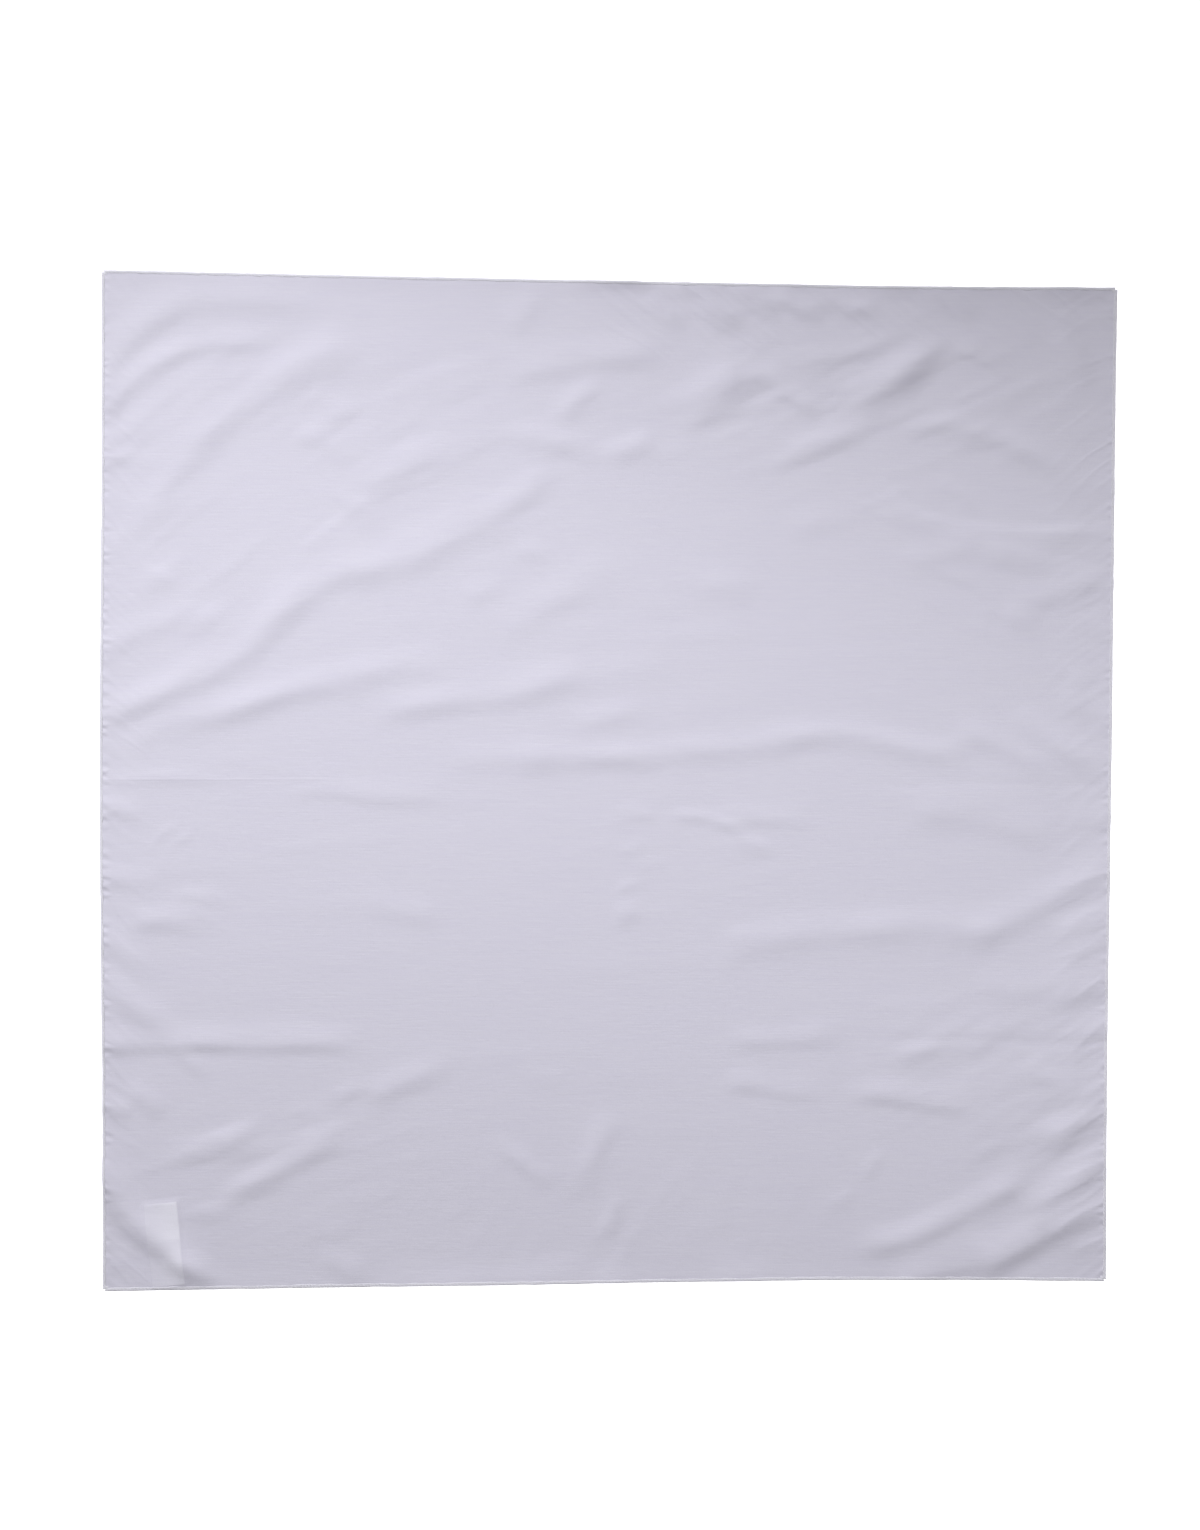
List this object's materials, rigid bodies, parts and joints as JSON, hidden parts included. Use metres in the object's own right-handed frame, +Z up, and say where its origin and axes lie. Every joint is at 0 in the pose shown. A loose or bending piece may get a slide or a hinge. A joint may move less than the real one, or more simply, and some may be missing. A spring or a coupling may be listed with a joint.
{
  "type": "square stole laid out flat",
  "caption": "Square stole of thin plain cotton, laid out flat, with rolled hems, soft wrinkles, old fold creases and a bare care label under a corner.",
  "frame": {"origin": "middle of the laid-out sheet, on the surface that it lies on", "axes": "+Z up out of the surface, +Y towards the edge that is at the top of the picture, +X towards its right"},
  "size_m": [0.9119, 0.9152, 0.0059],
  "materials": {
    "cloth": "pale lilac thin plain-woven cotton, matte",
    "label_tape": "white satin tape, bare, soft sheen",
    "thread": "pale lilac sewing thread, matte"
  },
  "bodies": {
    "root": {"stole_cloth": "cloth", "care_label": "label_tape"}
  },
  "joints": []
}
